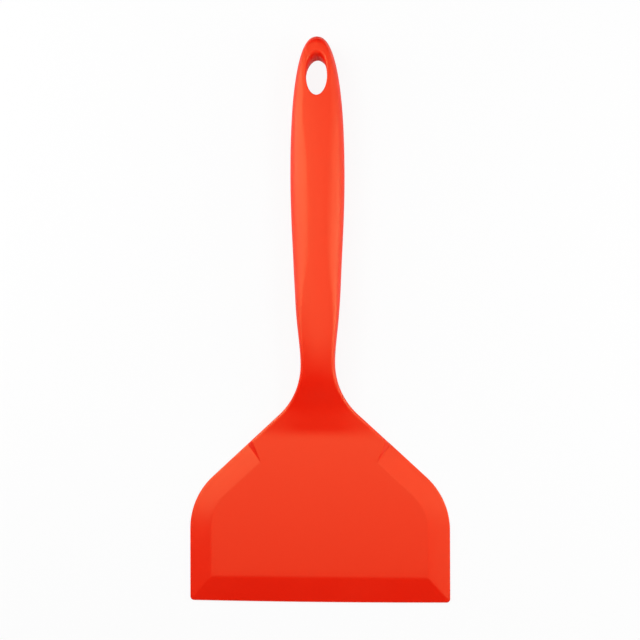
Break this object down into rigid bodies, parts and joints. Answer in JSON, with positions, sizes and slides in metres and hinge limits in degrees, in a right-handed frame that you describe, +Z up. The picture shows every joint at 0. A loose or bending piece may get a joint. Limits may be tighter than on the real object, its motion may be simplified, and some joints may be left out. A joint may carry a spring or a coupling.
{
  "type": "wide silicone turner",
  "caption": "Wide silicone turner with a bevelled thin-lipped blade, a slim bent neck and an oval handle with a hanging eye, moulded over a perforated, ribbed nylon core.",
  "frame": {"origin": "on the table under the middle of the turner's bounding box, with the turner lying on the back of its blade and the belly of its handle", "axes": "+Y runs from the lip of the blade to the hanging eye, +Z is up, out of the bevelled front face, and +X runs across the blade to the right as seen from above with the eye at the top"},
  "size_m": [0.13, 0.2809, 0.0158],
  "materials": {
    "silicone": "satin",
    "nylon": "matte, glass-filled"
  },
  "bodies": {
    "root": {"silicone_front": "silicone", "silicone_back": "silicone", "nylon_core": "nylon"}
  },
  "joints": []
}
